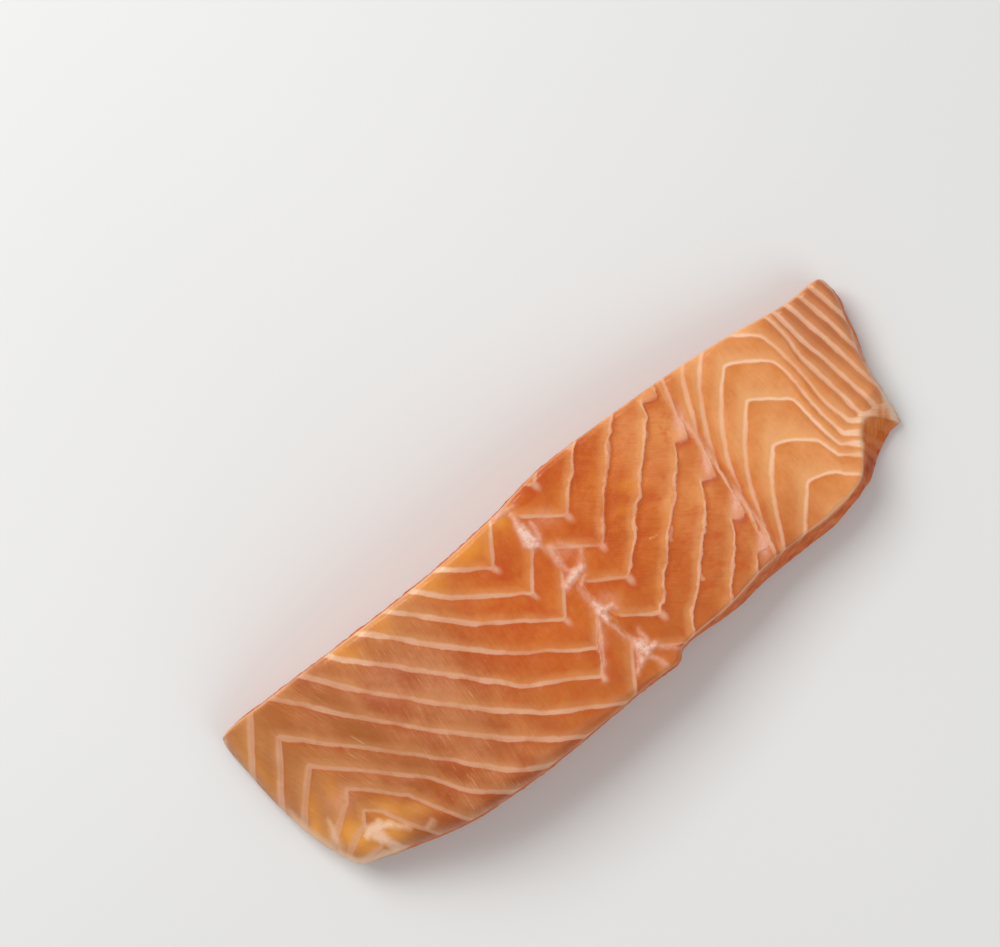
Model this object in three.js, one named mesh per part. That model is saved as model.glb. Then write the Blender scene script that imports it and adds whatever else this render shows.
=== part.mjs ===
import * as THREE from "three";

// A slice cut straight across a skinned salmon fillet. It lies on the side that carried the skin, so the
// side that lay against the ribs faces up. X runs from the back of the fish to its belly, Y runs along the
// fish, and x = 0 is on the row of pin bones. Millimetres, +Z up.

// Outline of the upper face, seen from above, in four stretches that follow each other anticlockwise.
const NEAR_CUT = [
  [-66.4, -23.2], [-56, -25.9], [-44, -28.6], [-24.4, -29.4], [0, -28.2], [8, -28],
  [10, -26.5], [23.6, -25.4], [32.6, -23.8], [50.5, -23.1], [59, -21], [62.6, -16.4],
];
const BELLY_END = [[68.5, -12.4], [73, -9], [74, -2.5], [76, 5], [76.9, 13]];
const FAR_CUT = [
  [76, 14.9], [67, 15.1], [51, 17.2], [27, 18.4], [8, 18.2], [-3.8, 16.4], [-20, 14.8], [-61, 14.2],
];
const BACK_END = [[-74.4, 13.4], [-74.3, 5], [-73.6, -3], [-71.8, -12.4]];

// Thickness, greatest in the loin and falling to both ends.
const THICKEST = 22.5;
const THICKEST_AT = -28;
const BACK_EDGE = { x: -74, thickness: 6, power: 2.2 };
const BELLY_EDGE = { x: 76, thickness: 9, power: 1.35 };

// Rounding of the upper edges, and of the foot all round, where it takes at most a share of a thin edge.
const SOFT_EDGE = 4.5;
const SHARP_EDGE = 1.3;
const NEAR_EDGE = { softTo: -30, sharpFrom: 14 };
const BACK_ROUNDING = 4;
const BELLY_ROUNDING = 2.2;
const FOOT_ROUNDING = 2.6;
const FOOT_SHARE = 0.4;
const SIDE_BULGE = 0.5;
const SIDE_CURVE = 1.2;

// Both cuts lean the same way, so the foot stands nearer than the upper edge.
const LEAN = { loin: 1, belly: 3.5, from: 5, to: 36 };
const BACK_UNDERCUT = { reach: 6, from: -56, to: -70 };
const BELLY_TIP = { x: 65.5, y: -13.5, reach: 7, out: 5.2, near: 4, drop: 1.6 };

// The sheets between the muscle segments run over the face in straight arms that meet in a W. Each arm
// gives the place of one numbered sheet, its rise along X, and the gap in Y to the next sheet.
const ARMS = {
  back: { sheet: 0, x: -64, y: 16.2, rise: 1.35, gap: 9.2 },
  loin: { sheet: 0, x: -48.5, y: 0, rise: -1, gap: 7.8 },
  pinSide: { sheet: -4, x: -5, y: -8.3, rise: 1.55, gap: 11.5 },
  flankShort: { sheet: -4, x: 6, y: 1.6, rise: -0.65, gap: 8.1 },
  flankLong: { sheet: -4, x: 22, y: 13.8, rise: 1.08, gap: 10.2 },
  shoulder: { sheet: 1, x: 54, y: 10.9, rise: -0.77, gap: 9.2 },
};
const LOIN_BEND = { x: -20, alongX: 0.018, y: -14, alongY: 0.014 };
const BELLY_RISE = { top: 22, dip: 31, x: 36.5, reach: 5.5, gap: 8.4 };
const BELLY_FALL = { x: 61, lean: 0.2, gap: 2.75, spread: 0.02 };
const APEX_SOFTNESS = 0.12;

// Relief of the upper face.
const SWELL = 0.4;
const SEPTUM_HALF_WIDTH = 1.3;
const FLAKE_STEP = { height: 0.6, from: 8, to: 38, fade: 4 };
const PIN_ROW = { x: 1, slant: -0.15, depth: 0.7, halfWidth: 1.4 };
const FAT_KNOBS = [
  { x: -1, y: 9.5, wide: 2, long: 4 },
  { x: 2.2, y: -2, wide: 2.2, long: 2.2 },
  { x: 2.6, y: -11.4, wide: 2, long: 3.2 },
  { x: 4.4, y: -21.4, wide: 2.4, long: 2.6 },
];
const KNOB_HEIGHT = 1;
const RIB_GROOVE = { x: 37.5, depth: 0.6, halfWidth: 1.1, y: -6, reach: 13 };
const SAG = { height: 0.35, lengthX: 37, lengthY: 26 };

// Number of cells along, across and down the sides, and how strongly they crowd towards the edges.
const CELLS_ALONG = 104;
const CELLS_ACROSS = 32;
const SIDE_ROWS = 6;
const CROWDING = 0.45;
const SAMPLES_PER_KNOT = 40;
const NORMAL_REACH = 5;
const SLOPE_STEP = 0.05;
const LEAST_SLOPE = 0.01;

const { smoothstep, lerp } = THREE.MathUtils;

// The whole outline is one smooth closed curve through the knots; each stretch of it is then spaced evenly
// except for closer points towards both of its ends.
const STRETCHES = [NEAR_CUT, BELLY_END, FAR_CUT, BACK_END];
const knots = STRETCHES.flat().map(([x, y]) => new THREE.Vector3(x, y, 0));
const outline = new THREE.CatmullRomCurve3(knots, true, "centripetal");

function closerAtEnds(share) {
  return lerp(share, (1 - Math.cos(Math.PI * share)) / 2, CROWDING);
}

function stretch(number, cells) {
  const before = STRETCHES.slice(0, number).flat().length;
  const length = STRETCHES[number].length;
  const samples = SAMPLES_PER_KNOT * length;
  const dense = [];
  for (let i = 0; i <= samples; i += 1) {
    dense.push(outline.getPoint(((before + (length * i) / samples) / knots.length) % 1));
  }
  const travelled = [0];
  for (let i = 1; i <= samples; i += 1) {
    travelled.push(travelled[i - 1] + dense[i].distanceTo(dense[i - 1]));
  }
  const points = [];
  for (let i = 0, at = 1; i <= cells; i += 1) {
    const goal = closerAtEnds(i / cells) * travelled[samples];
    while (at < samples && travelled[at] < goal) at += 1;
    const share = (goal - travelled[at - 1]) / (travelled[at] - travelled[at - 1]);
    points.push(dense[at - 1].clone().lerp(dense[at], share));
  }
  return points;
}

const near = stretch(0, CELLS_ALONG);
const belly = stretch(1, CELLS_ACROSS);
const far = stretch(2, CELLS_ALONG).reverse();
const back = stretch(3, CELLS_ACROSS).reverse();

// A point of the upper face, blended from the four stretches.
function facePoint(i, j) {
  const u = closerAtEnds(i / CELLS_ALONG);
  const v = closerAtEnds(j / CELLS_ACROSS);
  const blend = (axis) =>
    lerp(near[i][axis], far[i][axis], v) +
    lerp(back[j][axis], belly[j][axis], u) -
    lerp(lerp(near[0][axis], near.at(-1)[axis], u), lerp(far[0][axis], far.at(-1)[axis], u), v);
  return new THREE.Vector2(blend("x"), blend("y"));
}

// Number of the sheet at a place: whole on a sheet, and in between it counts on towards the near cut.
function armNumber(arm, x, y) {
  return arm.sheet + (arm.y + arm.rise * (x - arm.x) - y) / arm.gap;
}

function softMin(a, b) {
  const high = Math.max(a, b);
  const low = Math.min(a, b);
  return low - APEX_SOFTNESS * Math.log(1 + Math.exp((low - high) / APEX_SOFTNESS));
}

function softMax(a, b) {
  return -softMin(-a, -b);
}

function sheetNumber(x, y) {
  if (x < PIN_ROW.x + PIN_ROW.slant * y) {
    const bend =
      LOIN_BEND.alongX * Math.max(0, x - LOIN_BEND.x) ** 2 +
      LOIN_BEND.alongY * Math.max(0, LOIN_BEND.y - y) ** 2;
    const loin = armNumber(ARMS.loin, x, y) + bend / ARMS.loin.gap;
    return softMax(softMin(armNumber(ARMS.back, x, y), loin), armNumber(ARMS.pinSide, x, y));
  }
  const flank = softMax(armNumber(ARMS.flankShort, x, y), armNumber(ARMS.flankLong, x, y));
  const climb = BELLY_RISE.top - BELLY_RISE.dip * Math.exp((BELLY_RISE.x - x) / BELLY_RISE.reach);
  const rising = softMax(flank, (climb - y) / BELLY_RISE.gap);
  const falling = (BELLY_FALL.x - BELLY_FALL.lean * y - x) / (BELLY_FALL.gap + BELLY_FALL.spread * y);
  return softMin(softMin(rising, armNumber(ARMS.shoulder, x, y)), falling);
}

// Height of the segments, grooves and knobs of fat above the plain face.
function relief(x, y) {
  const number = sheetNumber(x, y);
  const alongX = (sheetNumber(x + SLOPE_STEP, y) - number) / SLOPE_STEP;
  const alongY = (sheetNumber(x, y + SLOPE_STEP) - number) / SLOPE_STEP;
  const slope = Math.max(Math.hypot(alongX, alongY), LEAST_SLOPE);
  const pastSheet = number - Math.floor(number);
  const away = Math.min(pastSheet, 1 - pastSheet) / slope;
  let height = -SWELL * Math.exp(-((away / SEPTUM_HALF_WIDTH) ** 2));

  const inFlank =
    smoothstep(x, FLAKE_STEP.from, FLAKE_STEP.from + FLAKE_STEP.fade) *
    (1 - smoothstep(x, FLAKE_STEP.to, FLAKE_STEP.to + FLAKE_STEP.fade));
  height += FLAKE_STEP.height * (pastSheet - 0.5) * inFlank;

  const offPinRow = (x - PIN_ROW.x - PIN_ROW.slant * y) / PIN_ROW.halfWidth;
  height -= PIN_ROW.depth * Math.exp(-(offPinRow ** 2));
  for (const knob of FAT_KNOBS) {
    const squared = ((x - knob.x) / knob.wide) ** 2 + ((y - knob.y) / knob.long) ** 2;
    height += KNOB_HEIGHT * Math.exp(-squared);
  }
  const acrossGroove = (x - RIB_GROOVE.x) / RIB_GROOVE.halfWidth;
  const alongGroove = (y - RIB_GROOVE.y) / RIB_GROOVE.reach;
  height -= RIB_GROOVE.depth * Math.exp(-(acrossGroove ** 2) - alongGroove ** 4);
  const sag = Math.sin((Math.PI * x) / SAG.lengthX) * Math.cos((Math.PI * y) / SAG.lengthY);
  return height + SAG.height * sag;
}

function thickness(x) {
  const end = x < THICKEST_AT ? BACK_EDGE : BELLY_EDGE;
  const share = (x - THICKEST_AT) / (end.x - THICKEST_AT);
  return THICKEST - (THICKEST - end.thickness) * share ** end.power;
}

function distanceTo(line, point) {
  let nearest = Infinity;
  for (let i = 1; i < line.length; i += 1) {
    const from = new THREE.Vector2(line[i - 1].x, line[i - 1].y);
    const along = new THREE.Vector2(line[i].x, line[i].y).sub(from);
    const share = THREE.MathUtils.clamp(point.clone().sub(from).dot(along) / along.lengthSq(), 0, 1);
    nearest = Math.min(nearest, from.addScaledVector(along, share).distanceTo(point));
  }
  return nearest;
}

// How far a rounded edge has fallen at a distance in from it.
function rounding(distance, radius) {
  const inside = Math.min(distance / radius, 1);
  return radius * (1 - Math.sqrt(1 - (1 - inside) ** 2));
}

function tipShare(x, y) {
  return Math.exp(-((x - BELLY_TIP.x) ** 2 + (y - BELLY_TIP.y) ** 2) / BELLY_TIP.reach ** 2);
}

function faceHeight(point) {
  const { x, y } = point;
  const nearRounding = lerp(SOFT_EDGE, SHARP_EDGE, smoothstep(x, NEAR_EDGE.softTo, NEAR_EDGE.sharpFrom));
  const fall = Math.max(
    rounding(distanceTo(near, point), nearRounding),
    rounding(distanceTo(far, point), SHARP_EDGE),
    rounding(distanceTo(back, point), BACK_ROUNDING),
    rounding(distanceTo(belly, point), BELLY_ROUNDING),
  );
  return thickness(x) + relief(x, y) - fall - BELLY_TIP.drop * tipShare(x, y);
}

// Where the foot under a point of the upper edge stands, before the foot is rounded.
function footUnder(point) {
  const { x, y } = point;
  const tip = tipShare(x, y);
  const lean = lerp(LEAN.loin, LEAN.belly, smoothstep(x, LEAN.from, LEAN.to));
  const undercut = BACK_UNDERCUT.reach * smoothstep(-x, -BACK_UNDERCUT.from, -BACK_UNDERCUT.to);
  return new THREE.Vector2(x + undercut + BELLY_TIP.out * tip, y - lean - BELLY_TIP.near * tip);
}

function inwardNormals(ring) {
  return ring.map((_, i) => {
    const before = ring.at(i - NORMAL_REACH);
    const after = ring[(i + NORMAL_REACH) % ring.length];
    return new THREE.Vector2(before.y - after.y, after.x - before.x).normalize();
  });
}

function makeEscalope() {
  const positions = [];
  const faces = [];
  const onFace = (i, j) => i * (CELLS_ACROSS + 1) + j;

  for (let i = 0; i <= CELLS_ALONG; i += 1) {
    for (let j = 0; j <= CELLS_ACROSS; j += 1) {
      const point = facePoint(i, j);
      positions.push([point.x, point.y, faceHeight(point)]);
    }
  }
  for (let i = 0; i < CELLS_ALONG; i += 1) {
    for (let j = 0; j < CELLS_ACROSS; j += 1) {
      faces.push([onFace(i, j), onFace(i + 1, j), onFace(i + 1, j + 1)]);
      faces.push([onFace(i, j), onFace(i + 1, j + 1), onFace(i, j + 1)]);
    }
  }

  const edge = [];
  for (let i = 0; i < CELLS_ALONG; i += 1) edge.push(onFace(i, 0));
  for (let j = 0; j < CELLS_ACROSS; j += 1) edge.push(onFace(CELLS_ALONG, j));
  for (let i = CELLS_ALONG; i > 0; i -= 1) edge.push(onFace(i, CELLS_ACROSS));
  for (let j = CELLS_ACROSS; j > 0; j -= 1) edge.push(onFace(0, j));

  const upper = edge.map((at) => new THREE.Vector3(...positions[at]));
  const feet = upper.map(footUnder);
  const inward = inwardNormals(feet);
  let above = edge;
  for (let row = 1; row <= SIDE_ROWS; row += 1) {
    const quarter = (row / SIDE_ROWS) * (Math.PI / 2);
    const below = upper.map((top, k) => {
      const z = row === SIDE_ROWS ? 0 : top.z * Math.cos(quarter) ** SIDE_CURVE;
      const footRounding = Math.min(FOOT_ROUNDING, FOOT_SHARE * top.z);
      const inset = rounding(z, footRounding) - SIDE_BULGE * Math.sin((Math.PI * z) / top.z);
      const place = new THREE.Vector2(top.x, top.y).lerp(feet[k], 1 - z / top.z);
      place.addScaledVector(inward[k], inset);
      return positions.push([place.x, place.y, z]) - 1;
    });
    for (let k = 0; k < edge.length; k += 1) {
      const next = (k + 1) % edge.length;
      faces.push([above[k], below[k], below[next]]);
      faces.push([above[k], below[next], above[next]]);
    }
    above = below;
  }

  const foot = above.map((at) => new THREE.Vector2(positions[at][0], positions[at][1]));
  for (const [a, b, c] of THREE.ShapeUtils.triangulateShape(foot, [])) {
    faces.push([above[a], above[c], above[b]]);
  }

  const geometry = new THREE.BufferGeometry();
  geometry.setAttribute("position", new THREE.Float32BufferAttribute(positions.flat(), 3));
  geometry.setIndex(faces.flat());
  geometry.computeBoundingBox();
  const box = geometry.boundingBox;
  geometry.translate(-(box.min.x + box.max.x) / 2, -(box.min.y + box.max.y) / 2, -box.min.z);
  geometry.computeVertexNormals();

  const flesh = new THREE.MeshStandardMaterial({ color: 0xd98350, roughness: 0.35, metalness: 0 });
  const escalope = new THREE.Mesh(geometry, flesh);
  escalope.name = "salmon_escalope";
  return escalope;
}

const group = new THREE.Group();
group.add(makeEscalope());

export default group;
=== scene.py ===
import math

import bpy
import numpy as np
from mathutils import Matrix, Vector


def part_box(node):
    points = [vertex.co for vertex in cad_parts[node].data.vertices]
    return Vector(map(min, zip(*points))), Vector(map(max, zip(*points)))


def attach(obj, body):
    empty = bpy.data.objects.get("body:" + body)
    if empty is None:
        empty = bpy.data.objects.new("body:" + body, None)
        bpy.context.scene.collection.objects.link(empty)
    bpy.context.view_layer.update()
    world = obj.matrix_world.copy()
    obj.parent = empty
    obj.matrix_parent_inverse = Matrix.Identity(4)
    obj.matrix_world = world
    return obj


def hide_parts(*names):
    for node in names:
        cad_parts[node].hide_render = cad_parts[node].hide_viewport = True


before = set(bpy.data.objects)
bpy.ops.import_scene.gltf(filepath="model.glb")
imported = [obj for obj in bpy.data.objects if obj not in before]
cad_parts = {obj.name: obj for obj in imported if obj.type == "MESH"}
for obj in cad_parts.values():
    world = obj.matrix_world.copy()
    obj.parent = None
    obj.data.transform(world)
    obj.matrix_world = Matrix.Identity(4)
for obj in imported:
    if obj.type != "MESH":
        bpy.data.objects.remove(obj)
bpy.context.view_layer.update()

# The slice is drawn in millimetres, like its solid, with x = 0 near the row of pin bones. It is then
# moved so that its box stands where the solid's box does.
MM = 0.001
NODE = "salmon_escalope"

# Outline of the upper face, seen from above, in four stretches that follow each other anticlockwise.
NEAR_CUT = [
    (-66.8, -23.1), (-62.4, -24.4), (-56, -25.9), (-44, -28.6), (-24.4, -29.4), (0, -28.2), (8, -28),
    (10, -26.5), (23.6, -25.4), (32.6, -23.8), (50.5, -23.1), (58.6, -21.2), (62.2, -17),
    (64.4, -13.8), (66.8, -12.6), (71.5, -16.9),
]
BELLY_END = [(72.2, -17.4), (72.4, -16.4), (72.6, -9), (73.2, -3), (75.4, 5), (76.9, 13)]
FAR_CUT = [
    (76, 14.9), (67, 15.1), (51, 17.2), (27, 18.4), (8, 18.2), (-3.8, 16.4), (-20, 14.8), (-61, 14.2),
    (-72.4, 13.9),
]
BACK_END = [(-74.4, 12.8), (-74.3, 5), (-73.6, -3), (-71.8, -12.4), (-69.4, -18.6)]
STRETCHES = [NEAR_CUT, BELLY_END, FAR_CUT, BACK_END]

# Thickness, greatest in the loin and falling to both ends.
THICKEST = 22.4
THICKEST_AT = -28
BACK_EDGE = {"x": -74, "thickness": 6, "power": 2.2}
BELLY_EDGE = {"x": 76, "thickness": 9, "power": 1.35}

# Rounding of the upper edges and of the foot, and how the sides lean.
SOFT_EDGE = 4.5
SHARP_EDGE = 1.3
CRISP_EDGE = {"radius": 0.7, "from": 38, "to": 46}
NEAR_EDGE = {"soft_to": -30, "sharp_from": 14}
BACK_ROUNDING = 4
BELLY_ROUNDING = 2.2
FOOT_ROUNDING = 2.6
FOOT_SHARE = 0.4
SIDE_BULGE = 0.5
SIDE_CURVE = 1.2
LEAN = {"loin": 1, "belly": 3.5, "from": 5, "to": 36}
BACK_UNDERCUT = {"reach": 6, "from": -56, "to": -70}
BELLY_TIP = {"x": 72.2, "y": -17.4, "reach": 8.5, "power": 1.2, "drop": 6.2}
TIP_UPRIGHT = {"y": (-6, -15), "x": (66, 70)}
TIP_FOOT = [(50.5, -26.6), (61, -24), (67.6, -20.2), (72.2, -17.6)]

# The sheets between the muscle segments run over the face in nearly straight arms that zigzag across it.
# Each arm gives the number of its first sheet, the rise of its sheets along X, and the Y at which each of
# them crosses a line across the slice at x. The sheets that fall to the belly end cross a line along X.
BACK_ARM = {"first": 0, "x": -64, "rise": 1.35, "crossings": (16.5, 6.9, -3.5, -15.4, -21)}
LOIN_ARM = {
    "first": -6, "x": -30, "rise": -1,
    "crossings": (25.8, 19.1, 12.5, 5.2, -2.5, -10.4, -18, -25.7, -31.2, -36.3),
}
PIN_SIDE_ARM = {"first": -6, "x": 0, "rise": 1.5, "crossings": (23.4, 10, -0.8, -12.35, -12.45, -24)}
FLANK_SHORT_ARM = {"first": -5, "x": 6, "rise": -0.65, "crossings": (9, 1.6, -6.7, -15.4, -23)}
FLANK_LONG_ARM = {
    "first": -5, "x": 22, "rise": 1.08, "crossings": (23.3, 13.2, 3.4, -6.7, -16.2, -25.9, -33.7),
}
PLATEAU = {"first": 1, "x": 49.5, "rise": -0.2, "crossings": (13, 5, -5.8, -15.2)}
SHOULDER_ARM = {"first": 0, "x": 54, "rise": -0.77, "crossings": (17.4, 11.2, 1.9, -8.2, -16.1, -24.5)}
BELLY_RISE = {
    "first": -2, "rise": 1.05, "dip": 7.2, "x": 38, "reach": 3,
    "crossings": (22.8, 12.7, 7, 0, -7.6, -16.5, -27, -37),
}
BELLY_FALL = {
    "first": -5, "lean": 0.2, "crossings": (76.4, 73.4, 70.4, 67.2, 64.2, 61.7, 59.6, 57.5, 55.5, 53.5),
}
COMB = {"first": -2, "x": 62, "rise": -0.75, "crossings": (-6, -7.7, -9.1, -12.6, -15.5, -18.2, -22.5)}
GAPS_BEYOND = 1000

# Where the arms bend away from straight lines.
BACK_FANS_OUT = {"before": -61, "per_sheet": -0.4, "first": 1}
LOIN_FLATTENS = {"from": -19.5, "by": 0.28}
LOIN_FANS_OUT = {"before": -45, "per_sheet": 0.12, "middle": 0.6, "last": 1.8}
LOIN_STEEPENS = {"below": -17, "by": 0.5, "x_full": -46, "x_none": -28}
LOIN_LIFTS = {"below": -14, "by": 0.2, "x_none": -32, "x_full": -22}
FALL_STEP = {"y": 1, "by": 0.8, "over": 4, "x_full": 61.5, "x_none": 64.5}
FALL_BOW = {"x": 63.3, "reach": 1.7, "from": 4, "to": 10, "by": 1.4}
HOOK = {"from": 31.4, "x": 33, "rise": 1.5, "fall": 1.35}
APEX_SOFTNESS = 0.04
BELLY_SOFTNESS = 0.11
PIN_ROW = {"x": 1, "slant": -0.15}
SHEET_SLANT = 0.55
GAP_STEP = 0.05
GAP_SLOPES = (0.08, 6)

# Stretches of X over which the flank begins and ends.
FLANK_BEGINS = (8, 12)
FLANK_ENDS = (36, 39)

# Relief of the face in millimetres. The swell, the depth of the sheets' groove and the shares further down
# have one number for the rest of the face and one for the flank. The other pairs are the ends of a ramp.
SEGMENT_SWELL = (0.22, 0.1)
SHEET_GROOVE = {"depth": (0.06, 0), "half_width": 0.9}
CLEAR_OF_PINS = (0.4, 1.6)
FLAKE_STEP = {"height": 0.32, "late_by": 0.1, "falls": (0.88, 1)}
PIN_GROOVE = {"depth": 0.5, "half_width": 1.5}
RIB_GROOVE = {"x": 37.9, "half_width": 0.5, "y": -6, "half_length": 12, "depth": 0.3}
SAG = {"depth": 0.35, "along": 37, "across": 26}
FAT_KNOBS = {"height": 0.45, "edge": (-0.6, 1.3)}
CHIP_RELIEF = {"height": 0.1, "edge": (-0.4, 0.4)}

# Random unevenness: how much there is, how wide its bumps are, and the seed that it is drawn from.
SHEET_SWAY = (0.3, 9, 5)
SHEET_WAVE = (0.3, 9, 3)
SHEET_RIPPLE = (1, 4, 4)
RIPPLE_SHARE = (0.12, 0.3)
STROKE_SWAY = (0.4, 1.7, 11)
STROKE_WAVE = (0.4, 1.7, 12)
RIB_SWAY = (0.35, 5, 21)
LUMPS = (0.14, 3.2, 22)
FINE_LUMPS = (1, 1.1, 23)
FINE_LUMP_SHARE = (0.03, 0.06)
DENTS = (0.22, 2.4, 31)
SMALL_DENTS = (0.1, 0.9, 32)
STRENGTH_SWAY = (0.2, 6, 41)
SKIN_SWAY = (0.5, 3, 42)

# Strokes of fat, skin and flakes: from one place to another, the half width at both, and the strength.
PIN_FAT = [
    (-4.4, 16.3, -2.2, 16.2, 0.5, 0.45, 0.9),
    (-2.2, 16.2, 0.4, 15.4, 0.45, 0.25, 0.7),
    (-1.2, 14.4, -1, 11.6, 0.5, 0.9, 0.7),
    (-1, 11.6, -1.1, 8, 0.9, 1.7, 1),
    (-0.9, 8.2, -0.3, 6.9, 1.5, 0.7, 1),
    (1.1, 10.8, 0.9, 7.6, 0.3, 0.35, 0.8),
    (-0.3, 6.4, 0.6, 4.8, 0.4, 0.4, 0.45),
    (0.8, 4.8, 1.2, -1.4, 0.8, 0.6, 0.5),
    (2.6, 4.4, 6.4, 1.4, 0.25, 0.3, 0.45),
    (6.4, 1.2, 3.6, -1.6, 0.3, 0.5, 0.5),
    (-0.8, -3.2, 1.6, -1.9, 0.9, 0.9, 0.85),
    (1.2, -2.2, 3.8, -1.9, 0.9, 0.65, 1),
    (1.7, -4.6, 3, -3.5, 0.2, 0.2, 0.9),
    (1, -4.4, 1.3, -8.6, 0.35, 0.5, 0.5),
    (1.4, -8.8, 1.7, -11.2, 0.6, 1, 0.9),
    (1.6, -11, 1.9, -13, 1.3, 0.7, 1),
    (1.8, -11.4, 4.2, -11.5, 0.9, 0.55, 1),
    (4.2, -11.5, 4.6, -12.6, 0.5, 0.2, 0.9),
    (1.6, -13.4, 2.1, -16.4, 0.4, 0.25, 0.85),
    (2.1, -16.4, 3.2, -19.4, 0.25, 0.3, 0.8),
    (5.6, -18.4, 5, -21.4, 0.5, 0.9, 0.5),
    (3.4, -19.4, 3.9, -22, 0.5, 1.7, 0.9),
    (4.2, -22, 6, -22.6, 1.3, 0.6, 1),
    (3.6, -22.4, 0.2, -24.8, 1, 0.4, 0.7),
    (0.1, -12.6, -2.9, -17.2, 0.5, 0.35, 0.7),
    (-2.9, -17.2, -5.8, -22.2, 0.32, 0.25, 0.65),
    (4, -23.2, 5.7, -27.2, 0.4, 0.35, 0.75),
    (6.8, -23.9, 9.7, -26.2, 0.4, 0.4, 0.6),
]
CORNER_FAT = [
    (-66.2, -11.8, -67.4, -15.9, 0.3, 0.5, 0.6),
    (-67.4, -15.9, -68.4, -19, 0.5, 0.6, 0.5),
    (-61.6, -19.2, -60, -18.6, 0.5, 1.3, 0.9),
    (-60, -18.6, -58.2, -18.6, 1.3, 1.1, 0.9),
    (-58.2, -18.6, -56.2, -20.2, 1, 0.6, 0.85),
    (-56.2, -20.2, -53.8, -22.4, 0.6, 0.3, 0.6),
    (-59.8, -19.6, -59.2, -22, 1.3, 0.8, 0.75),
    (-59.2, -22, -58.6, -24.4, 0.8, 1, 0.6),
    (-67.8, -20.6, -66.2, -22.8, 0.5, 0.7, 0.6),
    (-66, -22.6, -61, -23.8, 0.4, 0.5, 0.5),
    (-50.6, -24.6, -49.2, -24.2, 0.35, 0.35, 0.5),
]
SILVER_SKIN = [
    (75, 3, 73.5, -4, 0.2, 0.4, 0.5),
    (73.5, -4, 72.8, -10.5, 0.4, 0.7, 0.8),
    (72.8, -10.5, 72.4, -15, 0.7, 0.9, 0.95),
    (72.4, -15, 72.2, -17.2, 0.9, 0.8, 0.95),
]
FLAKE_CHIPS = [
    (17.4, -5.6, 19.2, -5.8, 0.25, 0.2, 0.7),
    (16, 18, 17.6, 18.4, 0.5, 0.4, 0.5),
    (21.4, 12.6, 22.6, 14.4, 0.5, 0.35, 0.6),
    (29.6, 11, 31, 13.8, 0.45, 0.3, 0.5),
    (20.8, -8.4, 22.6, -6.2, 0.45, 0.35, 0.5),
    (20.9, -18, 22.3, -16, 0.55, 0.4, 0.6),
]
STROKES = {
    "pin_fat": PIN_FAT, "corner_fat": CORNER_FAT, "silver_skin": SILVER_SKIN, "chips": FLAKE_CHIPS,
}
FAR_OUTSIDE = -3.0

# Soft patches of another colour than the flesh round them, or under FAINT_LINES of fainter lines: place,
# half lengths along and across, turn in degrees, and strength.
# The warm patches along the far cut and round the back end paint the glow of light through the thin flesh
# there; those in the flank are warmer flesh.
WARM_AND_GLOW_PATCHES = [
    (-69.6, -12.1, 1.3, 2.6, -30, 1), (-67.6, -8.6, 1.6, 3, -30, 0.6), (-64, -16.2, 2.4, 3, 0, 0.8),
    (-62.2, -21.8, 2.6, 1.1, -15, 1), (-56.6, -22.6, 2.4, 1.2, -45, 0.6), (-54, -18.4, 3, 2, -40, 0.45),
    (-62, -8, 1.6, 3.6, -20, 0.45), (-62.6, -19.6, 2.4, 1.6, -30, 0.6),
    (-56.4, -18.6, 3.4, 1.4, -40, 0.5), (-71.6, 3, 1.4, 8, -2, 0.5), (-72.5, 8, 1.6, 6, 0, 0.5),
    (-43, 12.4, 3.2, 1.8, -30, 0.6), (-34, 12.8, 2.4, 1.8, -30, 0.55), (-21.5, 12.8, 3, 1.8, -20, 0.7),
    (-12, 13.6, 5, 2.2, 0, 0.75), (-3.2, 14.6, 1.6, 1.8, 0, 0.7), (20, 6, 4.2, 1.3, -37, 0.4),
    (17, 2, 3, 1.2, -37, 0.35),
]
# The first three dark patches are painted shadow under the flank's hooks; the others are darker blotches of
# the flesh.
HOOK_SHADOW_AND_BLOTCH_PATCHES = [
    (34.6, 5.3, 2, 0.9, -12, 1), (34.5, -3.3, 2, 0.9, -12, 1), (34.2, -13.6, 2, 0.9, -12, 1),
    (-8, -10, 3, 2.5, 0, 0.5), (-2, 0, 2.2, 3, 0, 0.4), (20.5, 8, 2.4, 1, 40, 0.5),
    (15, 4, 3, 1.2, 10, 0.5), (23, 1.5, 2.6, 1.1, -20, 0.55), (28, 3, 1.6, 2.4, 0, 0.35),
]
CORNER_GLOWS = [
    (-63.4, -17.6, 3, 3.2, 0, 0.6), (-57.6, -20.6, 4, 2, -35, 0.5), (-69.6, -12.6, 1.6, 2.6, -30, 0.4),
    (-68.6, -14.8, 1.6, 2.4, -20, 0.5), (-55.4, -16, 3.8, 2, -35, 0.45),
    (-50.4, -20.2, 3.6, 1.6, -35, 0.4),
]
SHADED_PATCHES = [
    (-50, -1, 3.6, 10, 15, 3.4), (-45.5, -13.6, 5.6, 4.6, 0, 2.8), (-30, -15, 5, 6, 20, 1.2),
    (-53.8, -24, 6.4, 2.3, -14, 3.4), (58.4, -8, 3, 4.5, 0, 0.6),
]
FAINT_LINES = [
    (-48, -8, 6, 12, 0, 0.32), (-32, -18, 5, 4, 0, 0.4), (17, 3, 6, 6, 0, 0.35), (25, 0, 3, 5, 0, 0.35),
    (48, -1, 5, 12, 0, 0.25),
]
TIP_PATCHES = [(69.6, -14.6, 2.2, 3.4, -20, 1), (66.4, -15.4, 3, 2, -40, 0.8)]
WALL_SHADES = [(61.6, -21, 5, 2.2, 32, 0.6)]
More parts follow.
